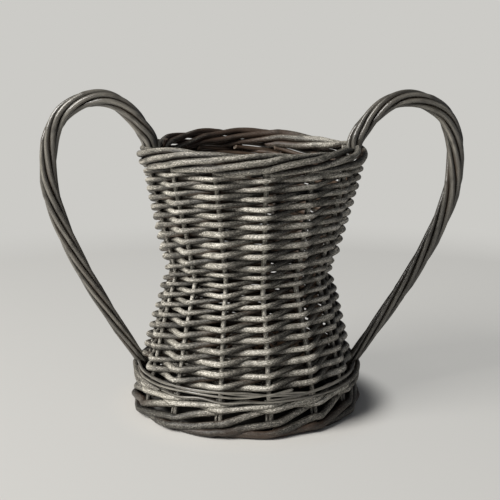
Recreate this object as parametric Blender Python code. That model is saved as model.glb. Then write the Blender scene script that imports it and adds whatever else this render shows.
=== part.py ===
"""Wine bottle basket: an hourglass basket of randed willow with two tall roped handles."""
import math

import bmesh
import bpy
from mathutils import Vector
from mathutils.geometry import interpolate_bezier

# Sizes are in metres. The stake line is the surface that the centres of the side stakes lie on.
STAKE_COUNT = 14
STAKE_RADIUS = 0.0017
BORDER_ROD_RADIUS = 0.0022
CLEARANCE = 0.0003          # between rods that touch
ROW_GAP = 0.00053           # between one row of weaving and the next

# The wall: its hourglass line and how it stands.
WAIST_RADIUS = 0.0528
WAIST_HEIGHT = 0.0945
WAIST_ROUNDING = 0.005
BOTTOM_RADIUS = 0.0676
BOTTOM_HEIGHT = 0.035
TOP_RADIUS = 0.0688
TOP_HEIGHT = 0.165
FLARE_SHARE = 0.85          # power of the flare above and below the waist
LEAN = 0.005                # how far the foot lies to the left of the rim
LEAN_HEIGHT = 0.161         # where the lean leaves the basket in the middle of its handles
STAKE_TURN = math.radians(-6)   # how far the stakes turn round the axis between foot and rim
WALL_STEPS = 8

# Weavers of the two blocks of French randing, thick end first.
LOWER_BUTT_RADIUS = 0.00165
UPPER_BUTT_RADIUS = 0.0016
WEAVER_TIP_RADIUS = 0.0012
FRONT_CROSSINGS = 10
END_SHARE = 0.15            # how far, in stake spaces, an end lies past its last stake
END_RISE_SHARE = 0.9        # rise of the first and last step, to a full one
END_INSET = 0.0009          # how far an end lies inside the other inner crossings

# Rolled borders at the rim and the foot. Each is a rope that needs this many stake spaces for a turn.
BORDER_TURN_SPACES = 6
BORDER_START = math.radians(90)   # a strand starts on the side of its border that faces the wall
RIM_SPACES = 4.5
FOOT_SPACES = 3.5
BORDER_DEPTH = 0.0051       # half the rope's depth, from centre to centre of its rods, across the wall
BORDER_RISE = 0.005         # the same, up and down
RIM_CORE_RADIUS = 0.071
FOOT_CORE_RADIUS = 0.0734
BORDER_SEAT = 0.0006        # room between the top row and the rim border
SETTING_SHARE = 0.12        # where, in stake spaces, a stake lies down into its border
FOOT_SETTING_LIFT = 0.0024  # how far above the foot rope a stake does so
FLAT_DEPTH = 0.0005         # worn flat under the foot

# Wale round the foot.
WALE_RADIUS = 0.00165
WALE_CROSSINGS = 35
OPEN_BAND = 0.0025          # bare stakes between the foot border and the wale

# Base.
BASE_STICK_RADIUS = 0.002
BASE_WEAVER_RADIUS = 0.0019
BASE_LONG_STICKS = 4
BASE_CROSS_STICKS = 3
SLATH_RADIUS = 0.013        # where the base sticks start to fan out
BASE_WEAVE_START = 0.029

# Handles.
HANDLE_ROD_COUNT = 4
HANDLE_BUTT_RADIUS = 0.0021
HANDLE_FOOT_RADIUS = 0.0014
TAIL_RADIUS = 0.00095
HANDLE_SOCKET_RADIUS = 0.0665
HANDLE_REACH = 0.1393
HANDLE_RISE = 0.0264        # from the top of the rim border to the top of the handle's middle line
HANDLE_FOOT_REACH = 0.083
HANDLE_FOOT_LIFT = 0.0017
HANDLE_KNOT_STEPS = 2
HANDLE_TURNS = 0.75
HEART_RADIUS = 0.0019       # the rods of a handle are laid round an open heart
HEART_END_RADIUS = 0.0005
HEART_TAPER_SHARE = 0.14    # the heart closes over this share of the handle at each end
TAIL_SPACES = 4
TAIL_END_SHARE = 0.3
TAIL_BEND_STEPS = 2
TAIL_BEND_SHARE = 0.45
SOCKET_SHARE = 0.45         # half the width of the place left for a handle, in stake spaces
HANDLE_ANGLES = (0.0, math.pi)

MERGE_DISTANCE = 0.000001

SPACE = 2 * math.pi / STAKE_COUNT
LAST_FRONT = 2 * (FRONT_CROSSINGS - 1)

# Heights, from the ground up. Each zone stands on the one under it.
FOOT_CORE_HEIGHT = BORDER_RISE + BORDER_ROD_RADIUS - FLAT_DEPTH
FOOT_TOP = FOOT_CORE_HEIGHT + BORDER_RISE + BORDER_ROD_RADIUS
WALE_PITCH = 2 * WALE_RADIUS + ROW_GAP
WALE_START = FOOT_TOP + OPEN_BAND + WALE_RADIUS
WALE_TOP = WALE_START + WALE_PITCH * (WALE_CROSSINGS - 1) / STAKE_COUNT + WALE_RADIUS
TAIL_PITCH = 2 * TAIL_RADIUS + CLEARANCE / 2
TAIL_START = WALE_TOP + CLEARANCE + TAIL_RADIUS
TAIL_TOP = TAIL_START + (HANDLE_ROD_COUNT - 1) * TAIL_PITCH + TAIL_RADIUS
BASE_HEIGHT = WALE_TOP + CLEARANCE + BASE_STICK_RADIUS


def weaver_height(start, first_pitch, last_pitch, crossing):
    """Height of a weaver at a crossing. The rows close up as the rod gets thinner."""
    if crossing < 0:
        return start + END_RISE_SHARE * first_pitch * crossing
    if crossing > LAST_FRONT:
        top = weaver_height(start, first_pitch, last_pitch, LAST_FRONT)
        return top + END_RISE_SHARE * last_pitch * (crossing - LAST_FRONT)
    return start + first_pitch * crossing + (last_pitch - first_pitch) * crossing ** 2 / (2 * LAST_FRONT)


TIP_PITCH = 2 * WEAVER_TIP_RADIUS + ROW_GAP
LOWER_PITCH = 2 * LOWER_BUTT_RADIUS + ROW_GAP
UPPER_PITCH = 2 * UPPER_BUTT_RADIUS + ROW_GAP
LOWER_START = TAIL_TOP + ROW_GAP + LOWER_BUTT_RADIUS
# The thick ends of the upper rods stand on the thin ends of the lower ones.
LOWER_SEAT = weaver_height(LOWER_START, LOWER_PITCH, TIP_PITCH, LAST_FRONT + 1 - END_SHARE)
UPPER_START = (LOWER_SEAT + WEAVER_TIP_RADIUS + CLEARANCE + UPPER_BUTT_RADIUS
               + END_RISE_SHARE * UPPER_PITCH * (1 + END_SHARE))
UPPER_LAST = weaver_height(UPPER_START, UPPER_PITCH, TIP_PITCH, LAST_FRONT)
RIM_CORE_HEIGHT = (UPPER_LAST + WEAVER_TIP_RADIUS + BORDER_SEAT + BORDER_ROD_RADIUS
                   + BORDER_RISE * math.sin(BORDER_START))
RIM_TOP = RIM_CORE_HEIGHT + BORDER_RISE + BORDER_ROD_RADIUS
SOCKET_HEIGHT = (RIM_CORE_HEIGHT - BORDER_RISE * math.cos(math.pi / BORDER_TURN_SPACES)
                 + BORDER_ROD_RADIUS + CLEARANCE)


def flare(distance, end_distance):
    """Share of the flare reached at a distance from the waist."""
    eased = math.hypot(distance, WAIST_ROUNDING) - WAIST_ROUNDING
    eased_end = math.hypot(end_distance, WAIST_ROUNDING) - WAIST_ROUNDING
    return (eased / eased_end) ** FLARE_SHARE


def hourglass_radius(height):
    if height < WAIST_HEIGHT:
        share = flare(WAIST_HEIGHT - height, WAIST_HEIGHT - BOTTOM_HEIGHT)
        return WAIST_RADIUS + (BOTTOM_RADIUS - WAIST_RADIUS) * share
    share = flare(height - WAIST_HEIGHT, TOP_HEIGHT - WAIST_HEIGHT)
    return WAIST_RADIUS + (TOP_RADIUS - WAIST_RADIUS) * share


STAKE_LOW = FOOT_TOP + OPEN_BAND
STAKE_HIGH = UPPER_LAST + WEAVER_TIP_RADIUS + CLEARANCE + STAKE_RADIUS


def stake_stations():
    """Heights of a stake's points: even steps below the waist, and even steps above it."""
    half = WALL_STEPS // 2
    below = [STAKE_LOW + (WAIST_HEIGHT - STAKE_LOW) * step / half for step in range(half)]
    above = [WAIST_HEIGHT + (STAKE_HIGH - WAIST_HEIGHT) * step / half for step in range(half + 1)]
    return below + above


STATIONS = stake_stations()


def stake_line(height):
    """Radius of the stake line, which is straight from one station to the next as the stakes are."""
    index = 0
    while index < len(STATIONS) - 2 and height > STATIONS[index + 1]:
        index += 1
    low, high = STATIONS[index], STATIONS[index + 1]
    share = (height - low) / (high - low)
    return hourglass_radius(low) * (1 - share) + hourglass_radius(high) * share


def stake_angle(index, height):
    return SPACE * index + STAKE_TURN * (height - STAKE_LOW) / (STAKE_HIGH - STAKE_LOW)


def placed(radius, angle, height):
    """Point of the basket, whose foot lies a little to the left of its rim."""
    shift = LEAN * (height - LEAN_HEIGHT) / RIM_TOP
    return Vector((radius * math.cos(angle) + shift, radius * math.sin(angle), height))


def outer_offset(line_radius, reach):
    """Distance of an outer crossing from the stake line, where the rod leaves it at a slant.

    The slant rod passes the stake's centre at the given reach, which is also the inner offset.
    """
    inner = line_radius - reach
    offset = reach
    for _ in range(6):
        slant = math.atan2(line_radius + offset - inner * math.cos(SPACE), inner * math.sin(SPACE))
        offset = reach / math.cos(slant)
    return offset


def willow(name, colour, roughness):
    material = bpy.data.materials.new(name)
    material.use_nodes = True
    shader = material.node_tree.nodes["Principled BSDF"]
    shader.inputs["Base Color"].default_value = (*colour, 1.0)
    shader.inputs["Roughness"].default_value = roughness
    shader.inputs["Metallic"].default_value = 0.0
    return material


def add_rod(name, points, radii, collection, material, facets=1):
    """A willow rod: a tube through its points with a radius at each."""
    curve = bpy.data.curves.new(name, "CURVE")
    curve.dimensions = "3D"
    curve.bevel_depth = max(radii)
    curve.bevel_resolution = facets
    curve.use_fill_caps = True
    curve.render_resolution_u = 0
    spline = curve.splines.new("POLY")
    spline.points.add(len(points) - 1)
    for spot, point, radius in zip(spline.points, points, radii):
        spot.co = (*point, 1.0)
        spot.radius = radius / curve.bevel_depth
    rod = bpy.data.objects.new(name, curve)
    collection.objects.link(rod)
    curve.materials.append(material)
    return rod


def tapered(first, last, count):
    return [first + (last - first) * step / (count - 1) for step in range(count)]


def weaver_points(first_stake, start, first_pitch, butt_radius):
    """One rod of French randing: in front of a stake, behind the next, rising all the way."""
    crossings = [-1 - END_SHARE] + list(range(LAST_FRONT + 1)) + [LAST_FRONT + 1 + END_SHARE]
    radii = tapered(butt_radius, WEAVER_TIP_RADIUS, len(crossings))
    points = []
    for crossing, radius in zip(crossings, radii):
        height = weaver_height(start, first_pitch, TIP_PITCH, crossing)
        line = stake_line(height)
        reach = STAKE_RADIUS + radius + CLEARANCE
        if crossing < 0 or crossing > LAST_FRONT:
            across = line - reach - END_INSET
        elif crossing % 2:
            across = line - reach
        else:
            across = line + outer_offset(line, reach)
        points.append(placed(across, stake_angle(first_stake + crossing, height), height))
    return points, radii


def add_weavers(collection, material):
    blocks = (("lower", LOWER_START, LOWER_PITCH, LOWER_BUTT_RADIUS),
              ("upper", UPPER_START, UPPER_PITCH, UPPER_BUTT_RADIUS))
    for block, start, pitch, butt_radius in blocks:
        for index in range(STAKE_COUNT):
            points, radii = weaver_points(index, start, pitch, butt_radius)
            add_rod(f"{block}_weaver_{index + 1:02d}", points, radii, collection, material)


def border_point(core_radius, core_height, base_angle, spaces, way):
    """Point of a border strand. way is 1 at the rim and -1 at the foot, which is the rim turned over."""
    turn = way * (2 * math.pi * spaces / BORDER_TURN_SPACES - BORDER_START)
    lift = FOOT_SETTING_LIFT * max(0, 1 - spaces) if way < 0 else 0
    return placed(core_radius + BORDER_DEPTH * math.cos(turn), base_angle + way * SPACE * spaces,
                  core_height + BORDER_RISE * math.sin(turn) + lift)


def rim_spaces(index):
    """Length of a rim strand in stake spaces. A strand that meets a handle on the inside stops before it."""
    spaces = RIM_SPACES
    for handle_angle in HANDLE_ANGLES:
        ahead = ((handle_angle - stake_angle(index, RIM_CORE_HEIGHT)) % (2 * math.pi)) / SPACE
        turn = 2 * math.pi * ahead / BORDER_TURN_SPACES - BORDER_START
        if turn > math.pi / 2 and ahead - SOCKET_SHARE < spaces:
            spaces = ahead - SOCKET_SHARE
    return spaces


def strand_steps(spaces):
    steps = [SETTING_SHARE] + [step / 2 for step in range(1, int(2 * spaces) + 1)]
    if spaces - steps[-1] > SETTING_SHARE:
        steps.append(spaces)
    return steps


def stake_points(index):
    """A stake from its end in the foot border, up the wall, to its end in the rim border."""
    foot_angle = stake_angle(index, FOOT_CORE_HEIGHT)
    rim_angle = stake_angle(index, RIM_CORE_HEIGHT)
    foot = [border_point(FOOT_CORE_RADIUS, FOOT_CORE_HEIGHT, foot_angle, spaces, -1)
            for spaces in reversed(strand_steps(FOOT_SPACES))]
    rim = [border_point(RIM_CORE_RADIUS, RIM_CORE_HEIGHT, rim_angle, spaces, 1)
           for spaces in strand_steps(rim_spaces(index))]
    wall = [placed(stake_line(height), stake_angle(index, height), height) for height in STATIONS]
    radii = [BORDER_ROD_RADIUS] * len(foot) + [STAKE_RADIUS] * len(wall) + [BORDER_ROD_RADIUS] * len(rim)
    return foot + wall + rim, radii


def worn_flat(rod, collection):
    """The rod as a mesh, cut level where it stands on the ground."""
    graph = bpy.context.evaluated_depsgraph_get()
    mesh = bpy.data.meshes.new_from_object(rod.evaluated_get(graph))
    shape = bmesh.new()
    shape.from_mesh(mesh)
    bmesh.ops.remove_doubles(shape, verts=shape.verts, dist=MERGE_DISTANCE)
    everything = shape.verts[:] + shape.edges[:] + shape.faces[:]
    bmesh.ops.bisect_plane(shape, geom=everything, dist=MERGE_DISTANCE, plane_co=(0, 0, 0),
                           plane_no=(0, 0, -1), clear_outer=True)
    open_edges = [edge for edge in shape.edges if edge.is_boundary]
    bmesh.ops.holes_fill(shape, edges=open_edges)
    shape.to_mesh(mesh)
    shape.free()
    name = rod.name
    curve = rod.data
    bpy.data.objects.remove(rod)
    bpy.data.curves.remove(curve)
    mesh.name = name
    flat = bpy.data.objects.new(name, mesh)
    collection.objects.link(flat)
    return flat


def add_stakes(collection, material):
    for index in range(STAKE_COUNT):
        points, radii = stake_points(index)
        worn_flat(add_rod(f"stake_{index + 1:02d}", points, radii, collection, material), collection)


def add_wale(collection, material):
    """One rod round the foot, in front of two stakes and behind the third."""
    points = []
    for crossing in range(WALE_CROSSINGS):
        height = WALE_START + WALE_PITCH * crossing / STAKE_COUNT
        line = stake_line(height)
        reach = STAKE_RADIUS + WALE_RADIUS + CLEARANCE
        across = line - reach if crossing % 3 == 0 else line + outer_offset(line, reach)
        points.append(placed(across, stake_angle(crossing, height), height))
    add_rod("foot_wale", points, [WALE_RADIUS] * len(points), collection, material)


def add_base_sticks(collection, material):
    """Sticks that cross in the middle, 4 under 3, and fan out to one stake at each end."""
    pitch = 2 * BASE_STICK_RADIUS + CLEARANCE
    reach = stake_line(BASE_HEIGHT) - STAKE_RADIUS - CLEARANCE
    groups = (("long", BASE_LONG_STICKS, 0.0, -1), ("cross", BASE_CROSS_STICKS, math.pi / 2, 1))
    turn = stake_angle(0, BASE_HEIGHT) + SPACE / 2
    for group, count, axis, level in groups:
        along = Vector((math.cos(axis + turn), math.sin(axis + turn), 0))
        aside = Vector((-along.y, along.x, 0))
        centre = placed(0, 0, BASE_HEIGHT)
        lift = Vector((0, 0, level * pitch / 2))
        for index in range(count):
            offset = index - (count - 1) / 2
            half = []
            for end in (1, -1):
                angle = axis + turn + end * offset * SPACE + (0 if end > 0 else math.pi)
                tip = placed(reach, angle, BASE_HEIGHT)
                knee = centre + along * end * SLATH_RADIUS + aside * offset * pitch + lift
                fanned = placed(BASE_WEAVE_START - BASE_WEAVER_RADIUS, angle, BASE_HEIGHT)
                half.append((knee, fanned, tip))
            points = list(reversed(half[0])) + list(half[1])
            add_rod(f"base_{group}_stick_{index + 1}", points, [BASE_STICK_RADIUS] * len(points),
                    collection, material)


def add_base_weavers(collection, material):
    """Two rods that chase each other outwards, each over one stick and under the next."""
    end_height = weaver_height(LOWER_START, LOWER_PITCH, TIP_PITCH, -1 - END_SHARE)
    weave_end = (stake_line(end_height) - STAKE_RADIUS - 2 * LOWER_BUTT_RADIUS - END_INSET
                 - 2 * CLEARANCE - BASE_WEAVER_RADIUS)
    pitch = 2 * (2 * BASE_WEAVER_RADIUS + ROW_GAP)
    reach = BASE_STICK_RADIUS + BASE_WEAVER_RADIUS + CLEARANCE
    crossings = int((weave_end - BASE_WEAVE_START) / pitch * STAKE_COUNT)
    for rod in range(2):
        points = []
        for crossing in range(crossings - rod * STAKE_COUNT // 2):
            radius = BASE_WEAVE_START + pitch * (crossing / STAKE_COUNT + rod / 2)
            stride = 2 * radius * math.sin(SPACE / 2)
            lift = reach / math.sqrt(1 - (2 * reach / stride) ** 2)
            side = 1 if (crossing + rod) % 2 else -1
            height = BASE_HEIGHT + side * lift
            angle = stake_angle(crossing, BASE_HEIGHT)
            points.append(placed(radius, angle, height))
        add_rod(f"base_weaver_{rod + 1}", points, [BASE_WEAVER_RADIUS] * len(points), collection, material,
                facets=0)


def catmull(before, start, end, after, share):
    """Point on a smooth curve between start and end."""
    square, cube = share ** 2, share ** 3
    return 0.5 * (2 * start + (end - before) * share + (2 * before - 5 * start + 4 * end - after) * square
                  + (3 * start - before - 3 * end + after) * cube)


def smooth_route(knots, parts):
    """A smooth curve through the knots, with each stretch between two knots in equal parts."""
    ends = [2 * knots[0] - knots[1]] + knots + [2 * knots[-1] - knots[-2]]
    route = []
    for index in range(len(knots) - 1):
        route += [catmull(*ends[index:index + 4], part / parts) for part in range(parts)]
    return route + [knots[-1]]


# The handle's middle line. Each point is a share of the way from the socket to the reach, and a share of the
# way from the foot end up to the top.
HANDLE_LINE_SHARES = ((-0.006, 0.84), (0.057, 0.889), (0.173, 0.94), (0.368, 0.988), (0.574, 1.0),
                      (0.777, 0.966), (0.928, 0.894), (0.999, 0.771), (0.978, 0.64), (0.839, 0.468),
                      (0.528, 0.21))


def handle_route():
    """Middle line of a handle as radius and height, from its socket in the rim to the foot."""
    top = RIM_TOP + HANDLE_RISE
    foot = TAIL_TOP + HANDLE_FOOT_LIFT
    socket = Vector((HANDLE_SOCKET_RADIUS, 0, SOCKET_HEIGHT))
    knots = [socket]
    for out_share, up_share in HANDLE_LINE_SHARES:
        knots.append(Vector((HANDLE_SOCKET_RADIUS + (HANDLE_REACH - HANDLE_SOCKET_RADIUS) * out_share, 0,
                             foot + (top - foot) * up_share)))
    knots.append(Vector((HANDLE_FOOT_REACH, 0, foot)))
    return smooth_route(knots, HANDLE_KNOT_STEPS)


def heart_radius(share):
    """Free room in the middle of the rope, wide on the arch and closed at both ends."""
    body = HEART_RADIUS * (1 + (HANDLE_FOOT_RADIUS / HANDLE_BUTT_RADIUS - 1) * share)
    fullness = min(1, share / HEART_TAPER_SHARE, (1 - share) / HEART_TAPER_SHARE)
    return HEART_END_RADIUS + (body - HEART_END_RADIUS) * fullness


def handle_rod_points(handle_angle, rod):
    """A rod of a handle: one strand of the rope, then its thin end laid round the foot."""
    route = handle_route()
    points, radii = [], []
    for step, spot in enumerate(route):
        before, after = route[max(step - 1, 0)], route[min(step + 1, len(route) - 1)]
        along = (after - before).normalized()
        inward = Vector((along.z, 0, -along.x))
        share = step / (len(route) - 1)
        radius = HANDLE_BUTT_RADIUS + (HANDLE_FOOT_RADIUS - HANDLE_BUTT_RADIUS) * share
        rope = max(math.sqrt(2) * (radius + CLEARANCE / 2), heart_radius(share) + CLEARANCE + radius)
        turn = 2 * math.pi * (rod / HANDLE_ROD_COUNT - HANDLE_TURNS * share) + math.pi / 4
        local = spot + inward * rope * math.cos(turn) + Vector((0, rope * math.sin(turn), 0))
        flat_angle = math.atan2(local.y, local.x)
        points.append(placed(math.hypot(local.x, local.y), handle_angle + flat_angle, local.z))
        radii.append(radius)
        last = turn
    way = 1 if math.sin(last) > 0 else -1
    outer = math.cos(last) > 0
    level = (1 if outer else 0) * 2 + (0 if way > 0 else 1)
    height = TAIL_START + TAIL_PITCH * level
    line = stake_line(height)
    lay = line + (STAKE_RADIUS + TAIL_RADIUS + CLEARANCE) / math.cos(SPACE / 2)
    tail = [placed(lay, handle_angle + stake_angle(way * spaces, height), height)
            for spaces in list(range(1, TAIL_SPACES + 1)) + [TAIL_SPACES + TAIL_END_SHARE]]
    run = (points[-1] - points[-2]).normalized()
    reach = TAIL_BEND_SHARE * (tail[0] - points[-1]).length
    tail_run = (tail[1] - tail[0]).normalized()
    bend = interpolate_bezier(points[-1], points[-1] + run * reach, tail[0] - tail_run * reach, tail[0],
                              TAIL_BEND_STEPS + 1)[1:-1]
    bend_radii = tapered(radii[-1], TAIL_RADIUS, TAIL_BEND_STEPS + 1)[1:-1]
    return points + bend + tail, radii + bend_radii + [TAIL_RADIUS] * len(tail)


def add_handles(collection, material):
    for side, handle_angle in zip(("right", "left"), HANDLE_ANGLES):
        for rod in range(HANDLE_ROD_COUNT):
            points, radii = handle_rod_points(handle_angle, rod)
            add_rod(f"{side}_handle_rod_{rod + 1}", points, radii, collection, material)


def main():
    for item in list(bpy.data.objects):
        bpy.data.objects.remove(item, do_unlink=True)
    collection = bpy.data.collections.new("wine_bottle_basket")
    bpy.context.scene.collection.children.link(collection)
    add_stakes(collection, willow("stake_willow", (0.20, 0.19, 0.165), 0.75))
    add_weavers(collection, willow("weaver_willow", (0.23, 0.22, 0.19), 0.8))
    add_wale(collection, willow("wale_willow", (0.20, 0.19, 0.165), 0.8))
    add_handles(collection, willow("handle_willow", (0.14, 0.13, 0.115), 0.5))
    add_base_sticks(collection, willow("base_stick_willow", (0.17, 0.13, 0.09), 0.75))
    add_base_weavers(collection, willow("base_weaver_willow", (0.18, 0.15, 0.11), 0.8))


main()
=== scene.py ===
import math
import random

import bmesh
import bpy
import numpy as np
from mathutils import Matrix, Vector, noise
from mathutils.geometry import interpolate_bezier


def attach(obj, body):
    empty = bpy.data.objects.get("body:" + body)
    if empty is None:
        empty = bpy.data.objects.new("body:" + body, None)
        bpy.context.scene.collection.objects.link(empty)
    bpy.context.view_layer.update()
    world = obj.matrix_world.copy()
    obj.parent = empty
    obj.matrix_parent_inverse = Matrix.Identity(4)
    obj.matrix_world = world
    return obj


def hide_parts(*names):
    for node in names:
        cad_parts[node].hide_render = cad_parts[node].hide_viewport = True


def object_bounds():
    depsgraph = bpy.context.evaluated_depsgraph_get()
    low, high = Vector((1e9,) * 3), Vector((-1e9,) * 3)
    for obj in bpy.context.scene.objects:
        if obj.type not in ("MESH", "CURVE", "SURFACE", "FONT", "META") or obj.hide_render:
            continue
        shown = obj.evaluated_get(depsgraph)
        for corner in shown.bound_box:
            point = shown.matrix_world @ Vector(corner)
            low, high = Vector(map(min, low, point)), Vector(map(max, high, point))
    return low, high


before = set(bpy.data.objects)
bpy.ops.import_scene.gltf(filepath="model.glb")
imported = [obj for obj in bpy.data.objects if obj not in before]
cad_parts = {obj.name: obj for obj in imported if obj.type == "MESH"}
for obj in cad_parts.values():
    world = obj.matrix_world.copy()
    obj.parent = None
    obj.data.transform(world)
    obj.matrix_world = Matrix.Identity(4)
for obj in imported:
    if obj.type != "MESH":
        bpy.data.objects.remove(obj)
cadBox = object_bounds()
print("frame loaded:", len(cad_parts), "solids")

# The basket's own sizes in metres, as in the model that the frame was packed from.
wall = {
    "stakes": 14,
    "stakeRadius": 0.0017,
    "clearance": 0.0003,         # between rods that touch
    "rowGap": 0.00053,           # between rows of weaving
    "waistRadius": 0.0528,
    "waistHeight": 0.0945,
    "waistRounding": 0.005,
    "bottomRadius": 0.0676,
    "bottomHeight": 0.035,
    "topRadius": 0.0688,
    "topHeight": 0.165,
    "flareShare": 0.85,
    "lean": 0.005,               # the foot lies this far to the left of the rim
    "leanHeight": 0.161,
    "stakeTurn": math.radians(-6),
    "openBand": 0.0025,          # bare stakes above the foot border
    "stakeHighlight": 0.5,           # painted highlight on the stakes where they show in the wall
    "frontDip": 0.0034,          # the rim has sagged this far at the front
    "sideDip": 0.0038,           # and this far beside the handles
    "rearDip": 0.0040,           # and once more at the far right
    "rearAngle": math.radians(46),
    "rearWidth": math.radians(26),
    "dipFrom": 0.100,
    "dipTo": 0.172,
}
weave = {
    "lowerButt": 0.00165,        # radii of the rods, thick end and thin end
    "upperButt": 0.0016,
    "tip": 0.0012,
    "crossings": 10,             # in front of this many stakes
    "startsBelow": 2,            # the lower rods start this many stakes further back, under the handles' tails
    "endShare": 0.15,
    "endRise": 0.9,
    "endInset": 0.25,            # how far an end tucks in, as a share of its reach
    "fullness": 1.30,            # the real rods fill the rows, so they are this much thicker than the solids
    "kink": 0.998,               # 0 is a soft wave round the stakes, 1 a sharp zigzag
    "joinShift": 0.0012,         # the two blocks close up this far where they meet
    "droop": 0.0004,             # a rod lies this much lower in front of a stake, and higher behind the next
    "unevenRow": 0.00040,        # how far a rod strays up or down at a stake
    "unevenThickness": 0.10,     # from rod to rod
    "shade": (0.85, -0.66),      # painted light on the crossings in front of a stake, painted shade on those behind it
    "paintedSunlight": 0.45,            # painted light on the half that comes out towards the key lamp
    "leeShade": 0.35,            # and painted shade on the half that turns away from it
}
border = {
    "rodRadius": 0.0022,
    "rimRadius": 0.00198,        # the strands of the rim as they are seen
    "tipRadius": 0.0018,
    "turnSpaces": 6,             # the rope makes one turn in this many stake spaces
    "startTurn": math.radians(90),
    "swell": 0.28,               # strands are thicker at the far right by this share
    "swellAngle": math.radians(62),
    "swellWidth": math.radians(24),
    "rimSpaces": 5.4,
    "thinFrom": 3.4,             # stake spaces after which a strand gets thinner
    "depth": 0.0051,
    "rise": 0.005,
    "rimCore": 0.071,
    "seat": 0.0006,
    "settingShare": 0.12,
    "wornFlat": 0.0005,
    "crest": 0.0014,             # strands crest unevenly, up to this much
    "settle": 0.0007,            # the real rim sits closer on the weave than the solids do
    "kink": 0.10,                # a strand turns faster after each stake and slower before it
    "stray": 0.0004,
}
foot = {
    "rodRadius": 0.0024,
    "tipRadius": 0.0016,
    # where a strand runs: stake spaces to the left of its stake, radius, height
    "path": ((0.08, 0.0716, 0.0166), (0.50, 0.0734, 0.0134), (0.85, 0.0755, 0.0100), (1.0, 0.0765, 0.0091),
             (1.15, 0.0762, 0.0086), (1.50, 0.0762, 0.0069), (1.85, 0.0776, 0.0049), (2.0, 0.0783, 0.0043),
             (2.15, 0.0777, 0.0039), (2.50, 0.0758, 0.0031), (3.0, 0.0746, 0.0024), (3.5, 0.0718, 0.0022),
             (3.9, 0.0695, 0.0022)),
    "stray": 0.0004,             # how far a strand strays at each of these points
    "byStakes": ((0.015, 0.00165, 0.0060), (-0.075, 0.0009, 0.0090)),   # place beside the stake, radius, lower end
    "byStakeTop": 0.0235,
}
wale = {
    "rods": 3,
    "radius": 0.0019,
    "height": 0.0198,            # of the middle line
    "stakes": 17,
    "slant": 0.00165,            # a span starts this far below its middle line and ends as far above
}
base = {
    "stickRadius": 0.002,
    "weaverRadius": 0.0019,
    "longSticks": 4,
    "crossSticks": 3,
    "slathRadius": 0.013,
    "weaveStart": 0.029,
    "fullness": 1.16,            # the real rods are pushed tight together
    "centreRadius": 0.00115,     # thin rods close the middle
    "centreStart": 0.0165,
    "centrePitch": 0.0029,
}
handle = {
    "rods": 6,                   # laid round a thick one, the bow
    # share of the way to the foot, and the rods' radius there
    "thickness": ((0.0, 0.0019), (0.25, 0.00194), (0.45, 0.00208), (0.6, 0.00188), (0.7, 0.00184), (0.83, 0.00166),
                  (0.92, 0.00148), (1.0, 0.00135)),
    "ropeSize": 2.04,            # from the middle of the bow to the middle of a rod, in rod radii
    "rodShare": 0.94,            # the rods are drawn this much thinner, so that dark creases part them
    "unlike": 0.07,              # from rod to rod
    "tip": 0.00065,
    "turns": 1.75,
    "turnsEarly": 0.3,           # the rope is tighter over the top than down at the foot
    "socketShare": 0.45,
    "angles": (0.0, math.pi),
    # middle line from the rim over the top down to the foot: radius, height
    "line": ((0.0687, 0.1765), (0.0693, 0.1820), (0.0713, 0.1865), (0.0750, 0.1918), (0.0802, 0.1988),
             (0.0883, 0.2061), (0.0974, 0.2103), (0.1079, 0.2108), (0.1190, 0.2072), (0.1290, 0.1995),
             (0.1350, 0.1875), (0.1374, 0.1750), (0.1379, 0.1600), (0.1358, 0.1460), (0.1310, 0.1300),
             (0.1246, 0.1140), (0.1174, 0.0990), (0.1093, 0.0840), (0.1005, 0.0694), (0.0908, 0.0538),
             (0.0821, 0.0405), (0.0768, 0.0325), (0.0728, 0.0270)),
    # how a tail runs from the foot of the handle: stake spaces, radius, height above its last height
    "tail": ((0.40, 0.0756, 0.0012), (1.0, 0.0763, 0.0008), (1.7, 0.0764, 0.0004), (2.4, 0.0763, 0.0)),
    "tailFan": (0.0016, 0.0013, 0.0008, 0.0),   # the three heights fan out this much more at these places
    "tailStray": 0.0012,
    "tailTaper": 1.7,            # 1 is an even taper, more is thin sooner
    "tailHeights": {1: (0.0284, 0.0299, 0.0313), -1: (0.0246, 0.0260, 0.0273)},
    "tailSpaces": (5.3, 4.4, 3.1),
    "tailRadius": 0.0764,
    "tailBend": 0.45,
    "bandRadius": 0.0018,        # two rods pass outside each handle
    "bandShade": -0.3,
    "bands": (((-1.5, 0.0725, 0.0215), (-1.0, 0.0755, 0.0230), (-0.5, 0.0774, 0.0254), (0.0, 0.0782, 0.0270),
               (0.5, 0.0774, 0.0256), (1.0, 0.0755, 0.0236), (1.5, 0.0725, 0.0215)),
              ((-1.3, 0.0728, 0.0168), (-0.9, 0.0752, 0.0180), (-0.45, 0.0770, 0.0200), (0.0, 0.0777, 0.0214),
               (0.45, 0.0770, 0.0202), (0.9, 0.0752, 0.0184), (1.3, 0.0728, 0.0168))),
}
rimEnds = (
    # where a strand's end shows under the front rim: first and last angle, radius, height, thickness
    (math.radians(-108), math.radians(-92), 0.0736, 0.1712, 0.0017),
    (math.radians(-62), math.radians(-43), 0.0738, 0.1702, 0.0018),
)
# Short cut-off ends beside the handles: angle, radius, height, lean in degrees, length, thickness, lightness.
stubs = (
    (math.radians(-24), 0.0655, 0.1745, 2, 0.0115, 0.0016, 0.6),
    (math.radians(162), 0.0665, 0.1765, 20, 0.0090, 0.0015, -0.6),
)

space = 2 * math.pi / wall["stakes"]
lastFront = 2 * (weave["crossings"] - 1)
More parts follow.
